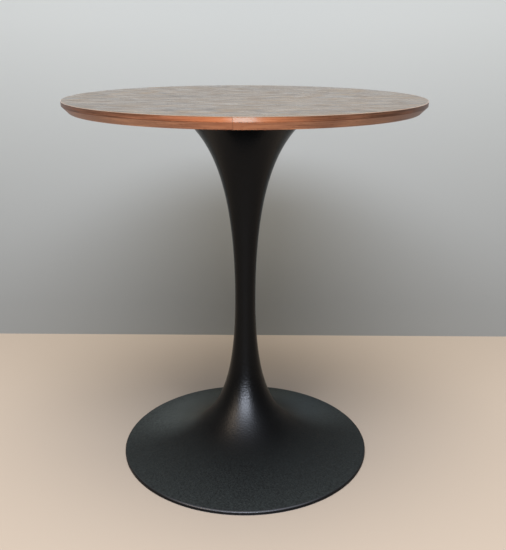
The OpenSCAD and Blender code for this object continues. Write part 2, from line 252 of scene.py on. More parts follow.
def walnutFaceMaterial(name, grain):
    material, tree, shader = startMaterial(name, {"IOR": 1.5, "Coat Weight": 0.6, "Coat Roughness": 0.28})
    place = addNode(tree, "ShaderNodeTexCoord").outputs["Object"]
    wander = addNode(tree, "ShaderNodeTexNoise", {"Scale": 2.2, "Detail": 2.0}, {"Vector": place})
    bent = addNode(tree, "ShaderNodeVectorMath",
                   {"operation": "MULTIPLY_ADD", 1: (0.0, grain["wander"] * mm, 0.0)},
                   {0: wander.outputs["Color"], 2: place}).outputs[0]
    # growth rings, read as contour lines of a long soft noise: each one darkens slowly and ends sharply
    ringSpace = addNode(tree, "ShaderNodeMapping", {"Scale": grain["ringStretch"]}, {"Vector": bent})
    ringNoise = addNode(tree, "ShaderNodeTexNoise", {"Scale": 1.0, "Detail": 2.5, "Roughness": 0.4},
                        {"Vector": ringSpace.outputs[0]})
    ringPlace = addNode(tree, "ShaderNodeMath", {"operation": "MULTIPLY", 1: grain["ringCount"]},
                        {0: ringNoise.outputs["Fac"]})
    ringPlace = addNode(tree, "ShaderNodeMath", {"operation": "FRACT"}, {0: ringPlace.outputs[0]})
    rings = addNode(tree, "ShaderNodeValToRGB",
                    {"stops": [(0.0, 0.3), (0.14, 0.85), (0.7, 0.55), (0.93, 0.0), (1.0, 0.3)]},
                    {"Fac": ringPlace.outputs[0]})
    # long soft mottle, fine fibres, short pores and the curl that the lacquer follows
    layers = {}
    for layer, space, detail in (("mottle", place, 2.0), ("fibre", bent, 3.0), ("pore", bent, 1.0),
                                 ("curl", place, 1.5)):
        width, length = grain[layer]
        scaled = addNode(tree, "ShaderNodeMapping", {"Scale": (1000 / length, 1000 / width, 1.0)},
                         {"Vector": space})
        noise = addNode(tree, "ShaderNodeTexNoise", {"Scale": 1.0, "Detail": detail, "Roughness": 0.5},
                        {"Vector": scaled.outputs[0]})
        layers[layer] = noise.outputs["Fac"]
    pores = addNode(tree, "ShaderNodeValToRGB", {"stops": [(0.58, 0.0), (0.7, 1.0)]}, {"Fac": layers["pore"]})
    # tone from 0, dark, to 1, light
    blend = addNode(tree, "ShaderNodeMath", {"operation": "MULTIPLY", 1: grain["ringShare"]},
                    {0: rings.outputs[0]})
    for layer, share in (("fibre", grain["fibreShare"]), ("mottle", grain["mottleShare"])):
        blend = addNode(tree, "ShaderNodeMath", {"operation": "MULTIPLY_ADD", 1: share},
                        {0: layers[layer], 2: blend.outputs[0]})
    tone = addNode(tree, "ShaderNodeValToRGB",
                   {"stops": [(0.44, grain["dark"]), (0.63, grain["mid"]), (0.84, grain["light"])]},
                   {"Fac": blend.outputs[0]})
    colour = addNode(tree, "ShaderNodeMix",
                     {"data_type": "RGBA", "blend_type": "MULTIPLY", 7: toLinear(grain["poreTone"])},
                     {0: pores.outputs[0], 6: tone.outputs[0]})
    # the eased rim, rubbed through to paler wood, which is also a painted highlight line along the arris
    wornAndHighlight = addNode(tree, "ShaderNodeMapRange", {
        "From Min": grain["wearAndHighlightFrom"] * mm, "From Max": grain["wearAndHighlightTo"] * mm, "To Max": grain["wornAndHighlightMost"],
    }, {"Value": fromAxis(tree, place)})
    colour = addNode(tree, "ShaderNodeMix", {"data_type": "RGBA", 7: toLinear(grain["wornAndHighlight"])},
                     {0: wornAndHighlight.outputs[0], 6: colour.outputs[2]})
    tree.links.new(colour.outputs[2], shader.inputs["Base Color"])
    # the lacquer lies smoother on the crests of the curl than in its hollows
    gloss = addNode(tree, "ShaderNodeMapRange", {
        "From Min": 0.3, "From Max": 0.7,
        "To Min": grain["roughness"] - grain["glossSpread"],
        "To Max": grain["roughness"] + grain["glossSpread"],
    }, {"Value": layers["curl"]})
    tree.links.new(gloss.outputs[0], shader.inputs["Roughness"])
    relief = addNode(tree, "ShaderNodeMath", {"operation": "MULTIPLY_ADD", 1: -0.6},
                     {0: pores.outputs[0], 2: layers["fibre"]})
    wave = addNode(tree, "ShaderNodeBump", {"Strength": 1.0, "Distance": grain["wave"] * mm},
                   {"Height": layers["curl"]})
    bump = addNode(tree, "ShaderNodeBump", {"Strength": 0.35, "Distance": grain["relief"] * mm},
                   {"Height": relief.outputs[0], "Normal": wave.outputs[0]})
    tree.links.new(bump.outputs[0], shader.inputs["Normal"])
    tree.links.new(wave.outputs[0], shader.inputs["Coat Normal"])
    return material


# Walnut edge: walnut strips bent round the edge under glossy lacquer that warms them to orange;
# the streaks follow the strip, so the pattern reads the distance along it; sizes are in mm
edgeGrain = {
    "uprightTones": ("#1e1713", "#30231d", "#463128"),
    "bevelTones": ("#251b16", "#372820", "#4d392c"),
    "lacquer": "#ff9058",
    "streak": (1.3, 75),  # width and length, as for the next one
    "fleck": (1.1, 9),
    "fleckTone": "#a08c80",
    "glossRange": (0.46, 0.56),  # roughness
    "relief": 0.2,
    "glue": "#59443a",
    "glueWidth": 0.5,  # real lines are 0.1 mm; drawn wider so that they show
    "glueAt": (749.0, 741.5),  # above the floor, the upright strip's two joints
    "glueEnds": (0.0, 2155.132),  # along the strip, its butt joint
}


def walnutEdgeMaterial(name, tones, grain):
    material, tree, shader = startMaterial(name, {
        "IOR": 1.5, "Coat Weight": 0.28, "Coat Roughness": 0.19,
        "Specular IOR Level": 1.0, "Specular Tint": toLinear(grain["lacquer"]),
    })
    along = addNode(tree, "ShaderNodeAttribute", {"attribute_name": "around"}).outputs["Fac"]
    place = addNode(tree, "ShaderNodeTexCoord").outputs["Object"]
    height = addNode(tree, "ShaderNodeSeparateXYZ", links={0: place}).outputs[2]
    strip = addNode(tree, "ShaderNodeCombineXYZ", links={0: along, 1: height}).outputs[0]
    cloud = addNode(tree, "ShaderNodeTexNoise", {"Scale": 9.0, "Detail": 2.0}, {"Vector": strip})
    layers = {}
    for layer, settings in (("streak", {"Detail": 3.0, "Roughness": 0.5, "Distortion": 0.3}),
                            ("fleck", {"Detail": 1.0})):
        width, length = grain[layer]
        scaled = addNode(tree, "ShaderNodeMapping", {"Scale": (1000 / length, 1000 / width, 1.0)},
                         {"Vector": strip})
        noise = addNode(tree, "ShaderNodeTexNoise", {"Scale": 1.0, **settings}, {"Vector": scaled.outputs[0]})
        layers[layer] = noise.outputs["Fac"]
    fleck = addNode(tree, "ShaderNodeValToRGB", {"stops": [(0.60, 0.0), (0.70, 1.0)]},
                    {"Fac": layers["fleck"]})
    blend = addNode(tree, "ShaderNodeMath", {"operation": "MULTIPLY_ADD", 1: 0.5},
                    {0: cloud.outputs["Fac"], 2: layers["streak"]})
    tone = addNode(tree, "ShaderNodeValToRGB", {"stops": list(zip((0.56, 0.74, 0.92), tones))},
                   {"Fac": blend.outputs[0]})
    colour = addNode(tree, "ShaderNodeMix",
                     {"data_type": "RGBA", "blend_type": "MULTIPLY", 7: toLinear(grain["fleckTone"])},
                     {0: fleck.outputs[0], 6: tone.outputs[0]})
    # dark glue lines along the strip's edges and at its butt joint
    lines = None
    spots = [(height, spot) for spot in grain["glueAt"]] + [(along, spot) for spot in grain["glueEnds"]]
    for source, spot in spots:
        away = addNode(tree, "ShaderNodeMath", {"operation": "SUBTRACT", 1: spot * mm}, {0: source})
        away = addNode(tree, "ShaderNodeMath", {"operation": "ABSOLUTE"}, {0: away.outputs[0]})
        line = addNode(tree, "ShaderNodeMapRange", {
            "From Min": grain["glueWidth"] / 2 * mm, "From Max": grain["glueWidth"] * mm,
            "To Min": 1.0, "To Max": 0.0,
        }, {"Value": away.outputs[0]})
        if lines:
            line = addNode(tree, "ShaderNodeMath", {"operation": "MAXIMUM"},
                           {0: lines.outputs[0], 1: line.outputs[0]})
        lines = line
    colour = addNode(tree, "ShaderNodeMix",
                     {"data_type": "RGBA", "blend_type": "MULTIPLY", 7: toLinear(grain["glue"])},
                     {0: lines.outputs[0], 6: colour.outputs[2]})
    tree.links.new(colour.outputs[2], shader.inputs["Base Color"])
    smooth, dull = grain["glossRange"]
    gloss = addNode(tree, "ShaderNodeMapRange",
                    {"From Min": 0.3, "From Max": 0.7, "To Min": smooth, "To Max": dull},
                    {"Value": layers["streak"]})
    tree.links.new(gloss.outputs[0], shader.inputs["Roughness"])
    bump = addNode(tree, "ShaderNodeBump", {"Strength": 0.25, "Distance": grain["relief"] * mm},
                   {"Height": layers["streak"]})
    tree.links.new(bump.outputs[0], shader.inputs["Normal"])
    return material


# Powder coat: black polyester powder on spun steel, satin with a fine orange peel, dusty where it faces up,
# which also paints sheen and reflection there, and rubbed paler along the foot's rim, which also paints a
# highlight; sizes are in mm
coatFinish = {
    "colour": "#010101",
    "speck": "#040404",
    # pale dust tone, partly real dust and partly painted sheen and reflection
    "dustAndSheenTone": "#343938",
    "dustAndSheenMost": 0.178,
    "dustAndSheenReach": (100, 250),  # from the axis, from beside the stem to the rim
    "dustAndSheenFront": (0.3, 1.25),  # times the dust and painted sheen at both ends of that reach, in front of the stem
    "dustAndReflectionBehind": (12, 3.7),  # and behind it, where it is mostly a painted reflection of the wall on the foot's flanks
    "dustAndReflectionSide": (-0.15, 0.99, 0),  # the side on which most of it lies, behind and a little to the left, where the painted reflection is
    "peelSize": 3.6,  # a real coat is nearer 0.5 and is drawn coarser so that it shows
    "peelDepth": 0.74,
    "roughness": 0.22,
    "glossSpread": 0.03,  # how far the roughness goes to either side
    "scuffed": 0.45,  # roughness near the floor, where shoes and brooms dull the coat
    "scuffFrom": 175,  # above the floor
    "scuffTo": 90,
    # paler rubbed paint on the rim's fold, which also paints the highlight line there
    "rubbedAndHighlight": "#29292a",
    "polish": 0.2,  # how much smoother the rubbed fold is
    "rubAndHighlightFrom": 260.2,  # from the axis
    "rubAndHighlightTo": 260.9,
    "rubAndHighlightFront": (-200, -256),  # along Y; the rubbing and its painted highlight are strongest at the front of the fold
    "rubAndHighlightAround": 0.15,  # share of the rubbing and painted highlight that the sides and the back get
}


def powderCoatMaterial(name, finish):
    material, tree, shader = startMaterial(name, {"IOR": 1.5, "Specular IOR Level": 0.105})
    place = addNode(tree, "ShaderNodeTexCoord").outputs["Object"]
    spot = addNode(tree, "ShaderNodeSeparateXYZ", links={0: place})
    outward = fromAxis(tree, place)
    peel = addNode(tree, "ShaderNodeTexNoise",
                   {"Scale": 1000 / finish["peelSize"], "Detail": 2.0, "Roughness": 0.6}, {"Vector": place})
    cloud = addNode(tree, "ShaderNodeTexNoise", {"Scale": 7.0, "Detail": 3.0}, {"Vector": place})
    tone = addNode(tree, "ShaderNodeMix",
                   {"data_type": "RGBA", 6: toLinear(finish["colour"]), 7: toLinear(finish["speck"])},
                   {0: peel.outputs["Fac"]})
    # dust settles on what faces up, and more of it in the peel's hollows; its pale tone also stands in for
    # light from above as painted sheen
    normal = addNode(tree, "ShaderNodeNewGeometry").outputs["Normal"]
    facing = addNode(tree, "ShaderNodeSeparateXYZ", links={0: normal}).outputs[2]
    dustAndSheenMask = addNode(tree, "ShaderNodeMapRange",
                      {"From Min": 0.7, "From Max": 1.0, "To Max": finish["dustAndSheenMost"]}, {"Value": facing})
    hollow = addNode(tree, "ShaderNodeMapRange",
                     {"From Min": 0.3, "From Max": 0.7, "To Min": 1.5, "To Max": 0.5},
                     {"Value": peel.outputs["Fac"]})
    dustAndSheenMask = addNode(tree, "ShaderNodeMath", {"operation": "MULTIPLY"},
                      {0: dustAndSheenMask.outputs[0], 1: hollow.outputs[0]})
    # and its share goes by the place round the stem and the distance from it; behind the stem it is mostly
    # painted reflection
    near, far = finish["dustAndSheenReach"]
    shares = []
    for beside, atRim in (finish["dustAndSheenFront"], finish["dustAndReflectionBehind"]):
        share = addNode(tree, "ShaderNodeMapRange",
                        {"From Min": near * mm, "From Max": far * mm, "To Min": beside, "To Max": atRim},
                        {"Value": outward})
        shares.append(share.outputs[0])
    bearing = addNode(tree, "ShaderNodeVectorMath", {"operation": "DOT_PRODUCT", 1: finish["dustAndReflectionSide"]},
                      {0: place})
    bearing = addNode(tree, "ShaderNodeMath", {"operation": "DIVIDE"},
                      {0: bearing.outputs["Value"], 1: outward})
    behind = addNode(tree, "ShaderNodeMapRange",
                     {"interpolation_type": "SMOOTHSTEP", "From Min": -0.1, "From Max": 0.9},
                     {"Value": bearing.outputs[0]})
    share = addNode(tree, "ShaderNodeMix", {"data_type": "FLOAT"},
                    {0: behind.outputs[0], 2: shares[0], 3: shares[1]})
    dustAndSheenMask = addNode(tree, "ShaderNodeMath", {"operation": "MULTIPLY", "use_clamp": True},
                      {0: dustAndSheenMask.outputs[0], 1: share.outputs[0]})
    tone = addNode(tree, "ShaderNodeMix", {"data_type": "RGBA", 7: toLinear(finish["dustAndSheenTone"])},
                   {0: dustAndSheenMask.outputs[0], 6: tone.outputs[2]})
    # the fold of the foot's rim, rubbed smoother and paler by shoes and brooms; the paler tone is also a
    # painted highlight line, strongest at the front
    outer = addNode(tree, "ShaderNodeMapRange",
                    {"From Min": finish["rubAndHighlightFrom"] * mm, "From Max": finish["rubAndHighlightTo"] * mm},
                    {"Value": outward})
    folded = addNode(tree, "ShaderNodeMapRange", {"From Min": 0.35, "From Max": 0.6}, {"Value": facing})
    around, front = finish["rubAndHighlightFront"]
    front = addNode(tree, "ShaderNodeMapRange", {
        "interpolation_type": "SMOOTHSTEP",
        "From Min": around * mm, "From Max": front * mm, "To Min": finish["rubAndHighlightAround"],
    }, {"Value": spot.outputs[1]})
    rubbedAndHighlight = outer
    for limit in (folded, front):
        rubbedAndHighlight = addNode(tree, "ShaderNodeMath", {"operation": "MULTIPLY"},
                         {0: rubbedAndHighlight.outputs[0], 1: limit.outputs[0]})
    tone = addNode(tree, "ShaderNodeMix", {"data_type": "RGBA", 7: toLinear(finish["rubbedAndHighlight"])},
                   {0: rubbedAndHighlight.outputs[0], 6: tone.outputs[2]})
    tree.links.new(tone.outputs[2], shader.inputs["Base Color"])
    gloss = addNode(tree, "ShaderNodeMapRange", {
        "From Min": 0.2, "From Max": 0.8,
        "To Min": finish["roughness"] - finish["glossSpread"],
        "To Max": finish["roughness"] + finish["glossSpread"],
    }, {"Value": cloud.outputs["Fac"]})
    scuffs = addNode(tree, "ShaderNodeMapRange", {
        "From Min": finish["scuffFrom"] * mm, "From Max": finish["scuffTo"] * mm,
        "To Max": finish["scuffed"] - finish["roughness"],
    }, {"Value": spot.outputs[2]})
    gloss = addNode(tree, "ShaderNodeMath", {"operation": "ADD"}, {0: gloss.outputs[0], 1: scuffs.outputs[0]})
    gloss = addNode(tree, "ShaderNodeMath", {"operation": "MULTIPLY_ADD", 1: -finish["polish"]},
                    {0: rubbedAndHighlight.outputs[0], 2: gloss.outputs[0]})
    tree.links.new(gloss.outputs[0], shader.inputs["Roughness"])
    bump = addNode(tree, "ShaderNodeBump", {"Strength": 0.5, "Distance": finish["peelDepth"] * mm},
                   {"Height": peel.outputs["Fac"]})
    tree.links.new(bump.outputs[0], shader.inputs["Normal"])
    return material


# a plain finish: two close tones and two roughnesses mixed by a noise; grit is its size and lift
# its depth in mm, and what stands upright may have a tone of its own
def grittyMaterial(name, tones, grit, rough, lift, uniform, upright=None):
    material, tree, shader = startMaterial(name, uniform)
    place = addNode(tree, "ShaderNodeTexCoord").outputs["Object"]
    fine = addNode(tree, "ShaderNodeTexNoise", {"Scale": 1000 / grit, "Detail": 4.0, "Roughness": 0.6},
                   {"Vector": place})
    broad = addNode(tree, "ShaderNodeTexNoise", {"Scale": 1000 / grit / 14, "Detail": 3.0}, {"Vector": place})
    blend = addNode(tree, "ShaderNodeMath", {"operation": "MULTIPLY_ADD", 1: 0.6},
                    {0: broad.outputs["Fac"], 2: fine.outputs["Fac"]})
    tone = addNode(tree, "ShaderNodeValToRGB", {"stops": list(zip((0.6, 1.0), tones))},
                   {"Fac": blend.outputs[0]}).outputs[0]
    if upright:
        normal = addNode(tree, "ShaderNodeNewGeometry").outputs["Normal"]
        facing = addNode(tree, "ShaderNodeSeparateXYZ", links={0: normal})
        level = addNode(tree, "ShaderNodeMath", {"operation": "ABSOLUTE"}, {0: facing.outputs[2]})
        level = addNode(tree, "ShaderNodeMath", {"operation": "GREATER_THAN", 1: 0.97}, {0: level.outputs[0]})
        tone = addNode(tree, "ShaderNodeMix", {"data_type": "RGBA", 6: toLinear(upright)},
                       {0: level.outputs[0], 7: tone}).outputs[2]
    tree.links.new(tone, shader.inputs["Base Color"])
    smooth, dull = rough
    gloss = addNode(tree, "ShaderNodeMapRange",
                    {"From Min": 0.3, "From Max": 0.7, "To Min": smooth, "To Max": dull},
                    {"Value": broad.outputs["Fac"]})
    tree.links.new(gloss.outputs[0], shader.inputs["Roughness"])
    bump = addNode(tree, "ShaderNodeBump", {"Strength": 0.5, "Distance": lift * mm},
                   {"Height": fine.outputs["Fac"]})
    tree.links.new(bump.outputs[0], shader.inputs["Normal"])
    return material


walnutFace = walnutFaceMaterial("satin lacquered walnut veneer", faceGrain)
walnutBacking = walnutFaceMaterial("sealed walnut backing veneer",
                                   {**faceGrain, "curl": (40, 120), "roughness": 0.5})
uprightEdge = walnutEdgeMaterial("glossy walnut edge strip", edgeGrain["uprightTones"], edgeGrain)
bevelEdge = walnutEdgeMaterial("glossy walnut bevel strip", edgeGrain["bevelTones"], edgeGrain)
powderCoat = powderCoatMaterial("black powder coat on spun steel", coatFinish)
# fibreboard: pressed wood fibre, matte and evenly speckled, dark where it stands upright: glue, and painted
# shade in the edge strips' joint gap
fibreboard = grittyMaterial("sanded fibreboard", ("#8f6e4b", "#b9986f"), 1.2, (0.75, 0.9), 0.2,
                            {"IOR": 1.45}, "#2c2019")
# black steel: phosphated mild steel, dull with a cloudy film
blackSteel = grittyMaterial("black phosphated steel", ("#17191a", "#2c2e30"), 0.8, (0.45, 0.62), 0.08,
                            {"IOR": 1.5})
# zinc: bright zinc plate, a cool mirror blurred by its spangle
zincSteel = grittyMaterial("bright zinc plated steel", ("#a9adb0", "#c9ccce"), 0.6, (0.24, 0.38), 0.04,
                           {"Metallic": 1.0})
# cast iron: sand cast and painted, rough like fine sandpaper
castIron = grittyMaterial("painted sand cast iron", ("#1f2021", "#343536"), 1.4, (0.6, 0.8), 0.5,
                          {"IOR": 1.5})
# moulded plastic: black polypropylene with a spark eroded grain
blackPlastic = grittyMaterial("moulded black polypropylene", ("#141516", "#232425"), 0.7, (0.5, 0.62), 0.08,
                              {"IOR": 1.49})
# rubber: black vulcanised rubber, matte with faint bloom
rubber = grittyMaterial("black vulcanised rubber", ("#101010", "#1f1f1f"), 0.9, (0.78, 0.92), 0.1,
                        {"IOR": 1.52})
print("materials made")

mergeReach = 0.002 * mm  # points closer than this are one
turnSlack = 0.0002  # radians by which a point may lie before the start of its turn


# a Geometry Nodes tree with its named inputs, a material and one result
def startTree(name, inputs):
    tree = bpy.data.node_groups.new(name, "GeometryNodeTree")
    for label, kind, value in inputs + [("Material", "Material", None)]:
        socket = tree.interface.new_socket(label, in_out="INPUT", socket_type="NodeSocket" + kind)
        if value is not None:
            socket.default_value = value
    tree.interface.new_socket("Piece", in_out="OUTPUT", socket_type="NodeSocketGeometry")
    return tree, addNode(tree, "NodeGroupInput").outputs


# every tree ends in real meshes with their material
def endTree(tree, shape, material):
    whole = addNode(tree, "GeometryNodeRealizeInstances", links={0: shape}).outputs[0]
    finished = addNode(tree, "GeometryNodeSetMaterial", links={"Geometry": whole, "Material": material})
    addNode(tree, "NodeGroupOutput", links={0: finished.outputs[0]})
    return tree


# X and Y of a point at an angle and a distance from the Z axis
def circlePlace(tree, angle, distance):
    places = []
    for operation in ("COSINE", "SINE"):
        share = addNode(tree, "ShaderNodeMath", {"operation": operation}, {0: angle}).outputs[0]
        place = addNode(tree, "ShaderNodeMath", {"operation": "MULTIPLY"}, {0: share, 1: distance})
        places.append(place.outputs[0])
    return places


# turns a flat outline, radius along X and height along Y, about the Z axis
def turnedTree():
    tree, given = startTree("turned piece", [
        ("Outline", "Geometry", None), ("Segments", "Int", 240), ("Start Angle", "Float", 0.0),
        ("Sweep", "Float", math.tau), ("Closed Ends", "Bool", False), ("Reading Radius", "Float", 1.0),
    ])
    start, sweep, segments = given["Start Angle"], given["Sweep"], given["Segments"]
    size = addNode(tree, "GeometryNodeAttributeDomainSize", links={0: given["Outline"]})
    points = size.outputs["Point Count"]
    rows = addNode(tree, "ShaderNodeMath", {"operation": "ADD", 1: 1.0}, {0: points}).outputs[0]
    columns = addNode(tree, "ShaderNodeMath", {"operation": "ADD", 1: 1.0}, {0: segments}).outputs[0]
    grid = addNode(tree, "GeometryNodeMeshGrid", links={"Vertices X": columns, "Vertices Y": rows})
    # each grid point's place in the outline, and its angle
    index = addNode(tree, "GeometryNodeInputIndex").outputs[0]
    row = addNode(tree, "ShaderNodeMath", {"operation": "MODULO"}, {0: index, 1: rows}).outputs[0]
    row = addNode(tree, "ShaderNodeMath", {"operation": "MODULO"}, {0: row, 1: points}).outputs[0]
    column = addNode(tree, "ShaderNodeMath", {"operation": "DIVIDE"}, {0: index, 1: rows}).outputs[0]
    column = addNode(tree, "ShaderNodeMath", {"operation": "FLOOR"}, {0: column}).outputs[0]
    share = addNode(tree, "ShaderNodeMath", {"operation": "DIVIDE"}, {0: column, 1: segments}).outputs[0]
    angle = addNode(tree, "ShaderNodeMath", {"operation": "MULTIPLY_ADD"}, {0: share, 1: sweep, 2: start})
    here = addNode(tree, "GeometryNodeInputPosition").outputs[0]
    outlinePoint = addNode(tree, "GeometryNodeSampleIndex", {"data_type": "FLOAT_VECTOR", "domain": "POINT"},
                           {"Geometry": given["Outline"], "Value": here, "Index": row}).outputs[0]
    radius, height = addNode(tree, "ShaderNodeSeparateXYZ", links={0: outlinePoint}).outputs[:2]
    xPlace, yPlace = circlePlace(tree, angle.outputs[0], radius)
    place = addNode(tree, "ShaderNodeCombineXYZ", links={0: xPlace, 1: yPlace, 2: height}).outputs[0]
    skin = addNode(tree, "GeometryNodeSetPosition",
                   links={"Geometry": grid.outputs[0], "Position": place}).outputs[0]
    # the outline itself closes both ends of a part turn
    end = addNode(tree, "ShaderNodeMath", {"operation": "ADD"}, {0: start, 1: sweep}).outputs[0]
    joined = addNode(tree, "GeometryNodeJoinGeometry", links={0: skin})
    for turn in (start, end):
        tilt = addNode(tree, "ShaderNodeCombineXYZ", {0: math.pi / 2}, {2: turn}).outputs[0]
        cap = addNode(tree, "GeometryNodeTransform", links={"Geometry": given["Outline"], "Rotation": tilt})
        tree.links.new(cap.outputs[0], joined.inputs[0])
    chosen = addNode(tree, "GeometryNodeSwitch", {"input_type": "GEOMETRY"},
                     {0: given["Closed Ends"], 1: skin, 2: joined.outputs[0]}).outputs[0]
    welded = addNode(tree, "GeometryNodeMergeByDistance", {"Distance": mergeReach}, {0: chosen}).outputs[0]
    # distance round the piece, for patterns that follow it
    spot = addNode(tree, "ShaderNodeSeparateXYZ", links={0: here}).outputs
    bearing = addNode(tree, "ShaderNodeMath", {"operation": "ARCTAN2"}, {0: spot[1], 1: spot[0]}).outputs[0]
    bearing = addNode(tree, "ShaderNodeMath", {"operation": "SUBTRACT"}, {0: bearing, 1: start}).outputs[0]
    bearing = addNode(tree, "ShaderNodeMath", {"operation": "WRAP", 1: math.tau - turnSlack, 2: -turnSlack},
                      {0: bearing}).outputs[0]
    length = addNode(tree, "ShaderNodeMath", {"operation": "MULTIPLY"},
                     {0: bearing, 1: given["Reading Radius"]})
    marked = addNode(tree, "GeometryNodeStoreNamedAttribute",
                     {"data_type": "FLOAT", "domain": "POINT", "Name": "around"},
                     {"Geometry": welded, "Value": length.outputs[0]})
    return endTree(tree, marked.outputs[0], given["Material"])


# sets copies of one part on a circle, each turned a little at random
def ringTree():
    tree, given = startTree("ring of parts", [
        ("Part", "Object", None), ("Count", "Int", 6), ("Circle Radius", "Float", 0.1),
        ("Random Turn", "Float", 0.0), ("Seed", "Int", 3),
    ])
    index = addNode(tree, "GeometryNodeInputIndex").outputs[0]
    share = addNode(tree, "ShaderNodeMath", {"operation": "ADD", 1: 0.5}, {0: index}).outputs[0]
    share = addNode(tree, "ShaderNodeMath", {"operation": "DIVIDE"}, {0: share, 1: given["Count"]}).outputs[0]
    angle = addNode(tree, "ShaderNodeMath", {"operation": "MULTIPLY", 1: math.tau}, {0: share}).outputs[0]
    xPlace, yPlace = circlePlace(tree, angle, given["Circle Radius"])
    place = addNode(tree, "ShaderNodeCombineXYZ", links={0: xPlace, 1: yPlace}).outputs[0]
    spots = addNode(tree, "GeometryNodePoints", links={"Count": given["Count"], "Position": place}).outputs[0]
    chance = addNode(tree, "FunctionNodeRandomValue", {"data_type": "FLOAT", 2: 0.0},
                     {3: given["Random Turn"], "Seed": given["Seed"]}).outputs[1]
    turn = addNode(tree, "ShaderNodeMath", {"operation": "ADD"}, {0: angle, 1: chance}).outputs[0]
    turn = addNode(tree, "ShaderNodeCombineXYZ", links={2: turn}).outputs[0]
    part = addNode(tree, "GeometryNodeObjectInfo", links={"Object": given["Part"]}).outputs["Geometry"]
    copies = addNode(tree, "GeometryNodeInstanceOnPoints",
                     links={"Points": spots, "Instance": part, "Rotation": turn})
    return endTree(tree, copies.outputs[0], given["Material"])


turnedPiece = turnedTree()
ringOfParts = ringTree()


# runs a tree on an object and turns the result into a plain mesh object at the origin
def bake(host, tree, inputs):
    modifier = host.modifiers.new("build", "NODES")
    modifier.node_group = tree
    sockets = {s.name: s.identifier for s in tree.interface.items_tree if s.in_out == "INPUT"}
    for key, value in inputs.items():
        modifier[sockets[key]] = value
    bpy.context.view_layer.update()
    made = host.evaluated_get(bpy.context.evaluated_depsgraph_get())
    mesh = bpy.data.meshes.new_from_object(made)
    host.modifiers.remove(modifier)
    host.data = mesh


# merges doubles, points the faces outwards and keeps edges sharper than the given angle
def clean(piece, sharp=32):
    shape = bmesh.new()
    shape.from_mesh(piece.data)
    bmesh.ops.remove_doubles(shape, verts=shape.verts, dist=mergeReach)
    bmesh.ops.dissolve_degenerate(shape, edges=shape.edges, dist=mergeReach / 2)
    bmesh.ops.recalc_face_normals(shape, faces=shape.faces)
    for face in shape.faces:
        face.smooth = True
    shape.to_mesh(piece.data)
    shape.free()
    piece.data.set_sharp_from_angle(angle=math.radians(sharp))
    return piece


def newObject(name, points, faces):
    mesh = bpy.data.meshes.new(name)
    mesh.from_pydata(points, [], faces)
    piece = bpy.data.objects.new(name, mesh)
    bpy.context.scene.collection.objects.link(piece)
    return piece


# a turned piece from its outline in mm; a part turn has a start and a sweep, and reading is the
# radius in metres at which the distance round it is read
def turned(name, outline, material, segments=240, start=0.0, sweep=math.tau, reading=1.0, sharp=32):
    piece = newObject(name, [(r * mm, z * mm, 0) for r, z in outline], [tuple(range(len(outline)))])
    bake(piece, turnedPiece, {
        "Segments": segments, "Start Angle": start, "Sweep": sweep, "Closed Ends": sweep < math.tau - 0.00001,
        "Reading Radius": reading, "Material": material,
    })
    return clean(piece, sharp)


# copies of one part on a circle; the part itself is removed
def ringOf(name, part, material, plan):
    piece = newObject(name, [], [])
    bake(piece, ringOfParts, {
        "Part": part, "Count": plan["count"], "Circle Radius": plan["circle"] / 2 * mm,
        "Random Turn": plan["randomTurn"], "Seed": plan["seed"], "Material": material,
    })
    bpy.data.objects.remove(part)
    return clean(piece)


def finishPiece(piece, nodeName):
    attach(piece, "root")
    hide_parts(nodeName)


cornerSteps = 8


# a rounded corner of an outline, from one angle to another in degrees
def corner(centre, radius, first, last):
    angles = [math.radians(first + (last - first) * i / cornerSteps) for i in range(cornerSteps + 1)]
    return [(centre[0] + radius * math.cos(a), centre[1] + radius * math.sin(a)) for a in angles]


# Tabletop: face veneer with its eased upper edge, and the two edge strips with their butt joint
topPlan = {
    "height": 750,
    "radius": 343,
    "thick": 21,
    "faceHeight": 8.5,  # of the upright part of the edge
    "bevelRun": 12.5,  # how far the rest is undercut
    "veneer": 1,
    "backing": 1,
    "band": 1,
    "arris": 0.7,  # rounding of the veneer's upper edge
    "jointGap": 0.3,
    "jointAngle": -92,  # degrees, near the middle of the front
    "groove": 0.16,  # how far each strip's corners are eased at the glue lines
    "segments": 288,
    "stripSharp": 15,  # degrees; the strips' eased corners stay crisp
}


def buildTop(plan):
    top, radius, band, segments = plan["height"], plan["radius"], plan["band"], plan["segments"]
    under, faceLow, veneerLow = top - plan["thick"], top - plan["faceHeight"], top - plan["veneer"]
    arris, ease = plan["arris"], plan["groove"]
    outline = [(0, veneerLow), (radius - ease, veneerLow), (radius, veneerLow + ease)]
    outline += corner((radius - arris, top - arris), arris, 0, 90)
    outline += [(radius * share, top) for share in (0.8, 0.6, 0.4, 0.2, 0)]
    finishPiece(turned("faceVeneer", outline, walnutFace, segments), "top_veneer")
    slope = plan["bevelRun"] / (faceLow - under)
    slant = band * math.hypot(1, slope)
    mitre = faceLow + (slant - band) / slope
    core = under + plan["backing"]
    innerLow = radius - slant - (faceLow - core) * slope
    start = math.radians(plan["jointAngle"]) + plan["jointGap"] / 2 / radius
    sweep = math.tau - plan["jointGap"] / radius
    back = ease / math.hypot(1, slope)
    upright = [(radius - band, mitre), (radius - ease * 0.5, faceLow + ease * 0.6),
               (radius, faceLow + ease * 1.6), (radius, veneerLow - ease), (radius - ease, veneerLow),
               (radius - band, veneerLow)]
    bevel = [(radius - plan["bevelRun"], under), (radius - back * slope * 1.4, faceLow - back * 1.4),
             (radius - ease * 0.5, faceLow + ease * 0.4), (radius - band, mitre), (innerLow, core)]
    for name, outline, material, nodeName in (("edgeStrip", upright, uprightEdge, "edge_band"),
                                              ("bevelStrip", bevel, bevelEdge, "bevel_band")):
        strip = turned(name, outline, material, segments, start, sweep, radius * mm, plan["stripSharp"])
        finishPiece(strip, nodeName)


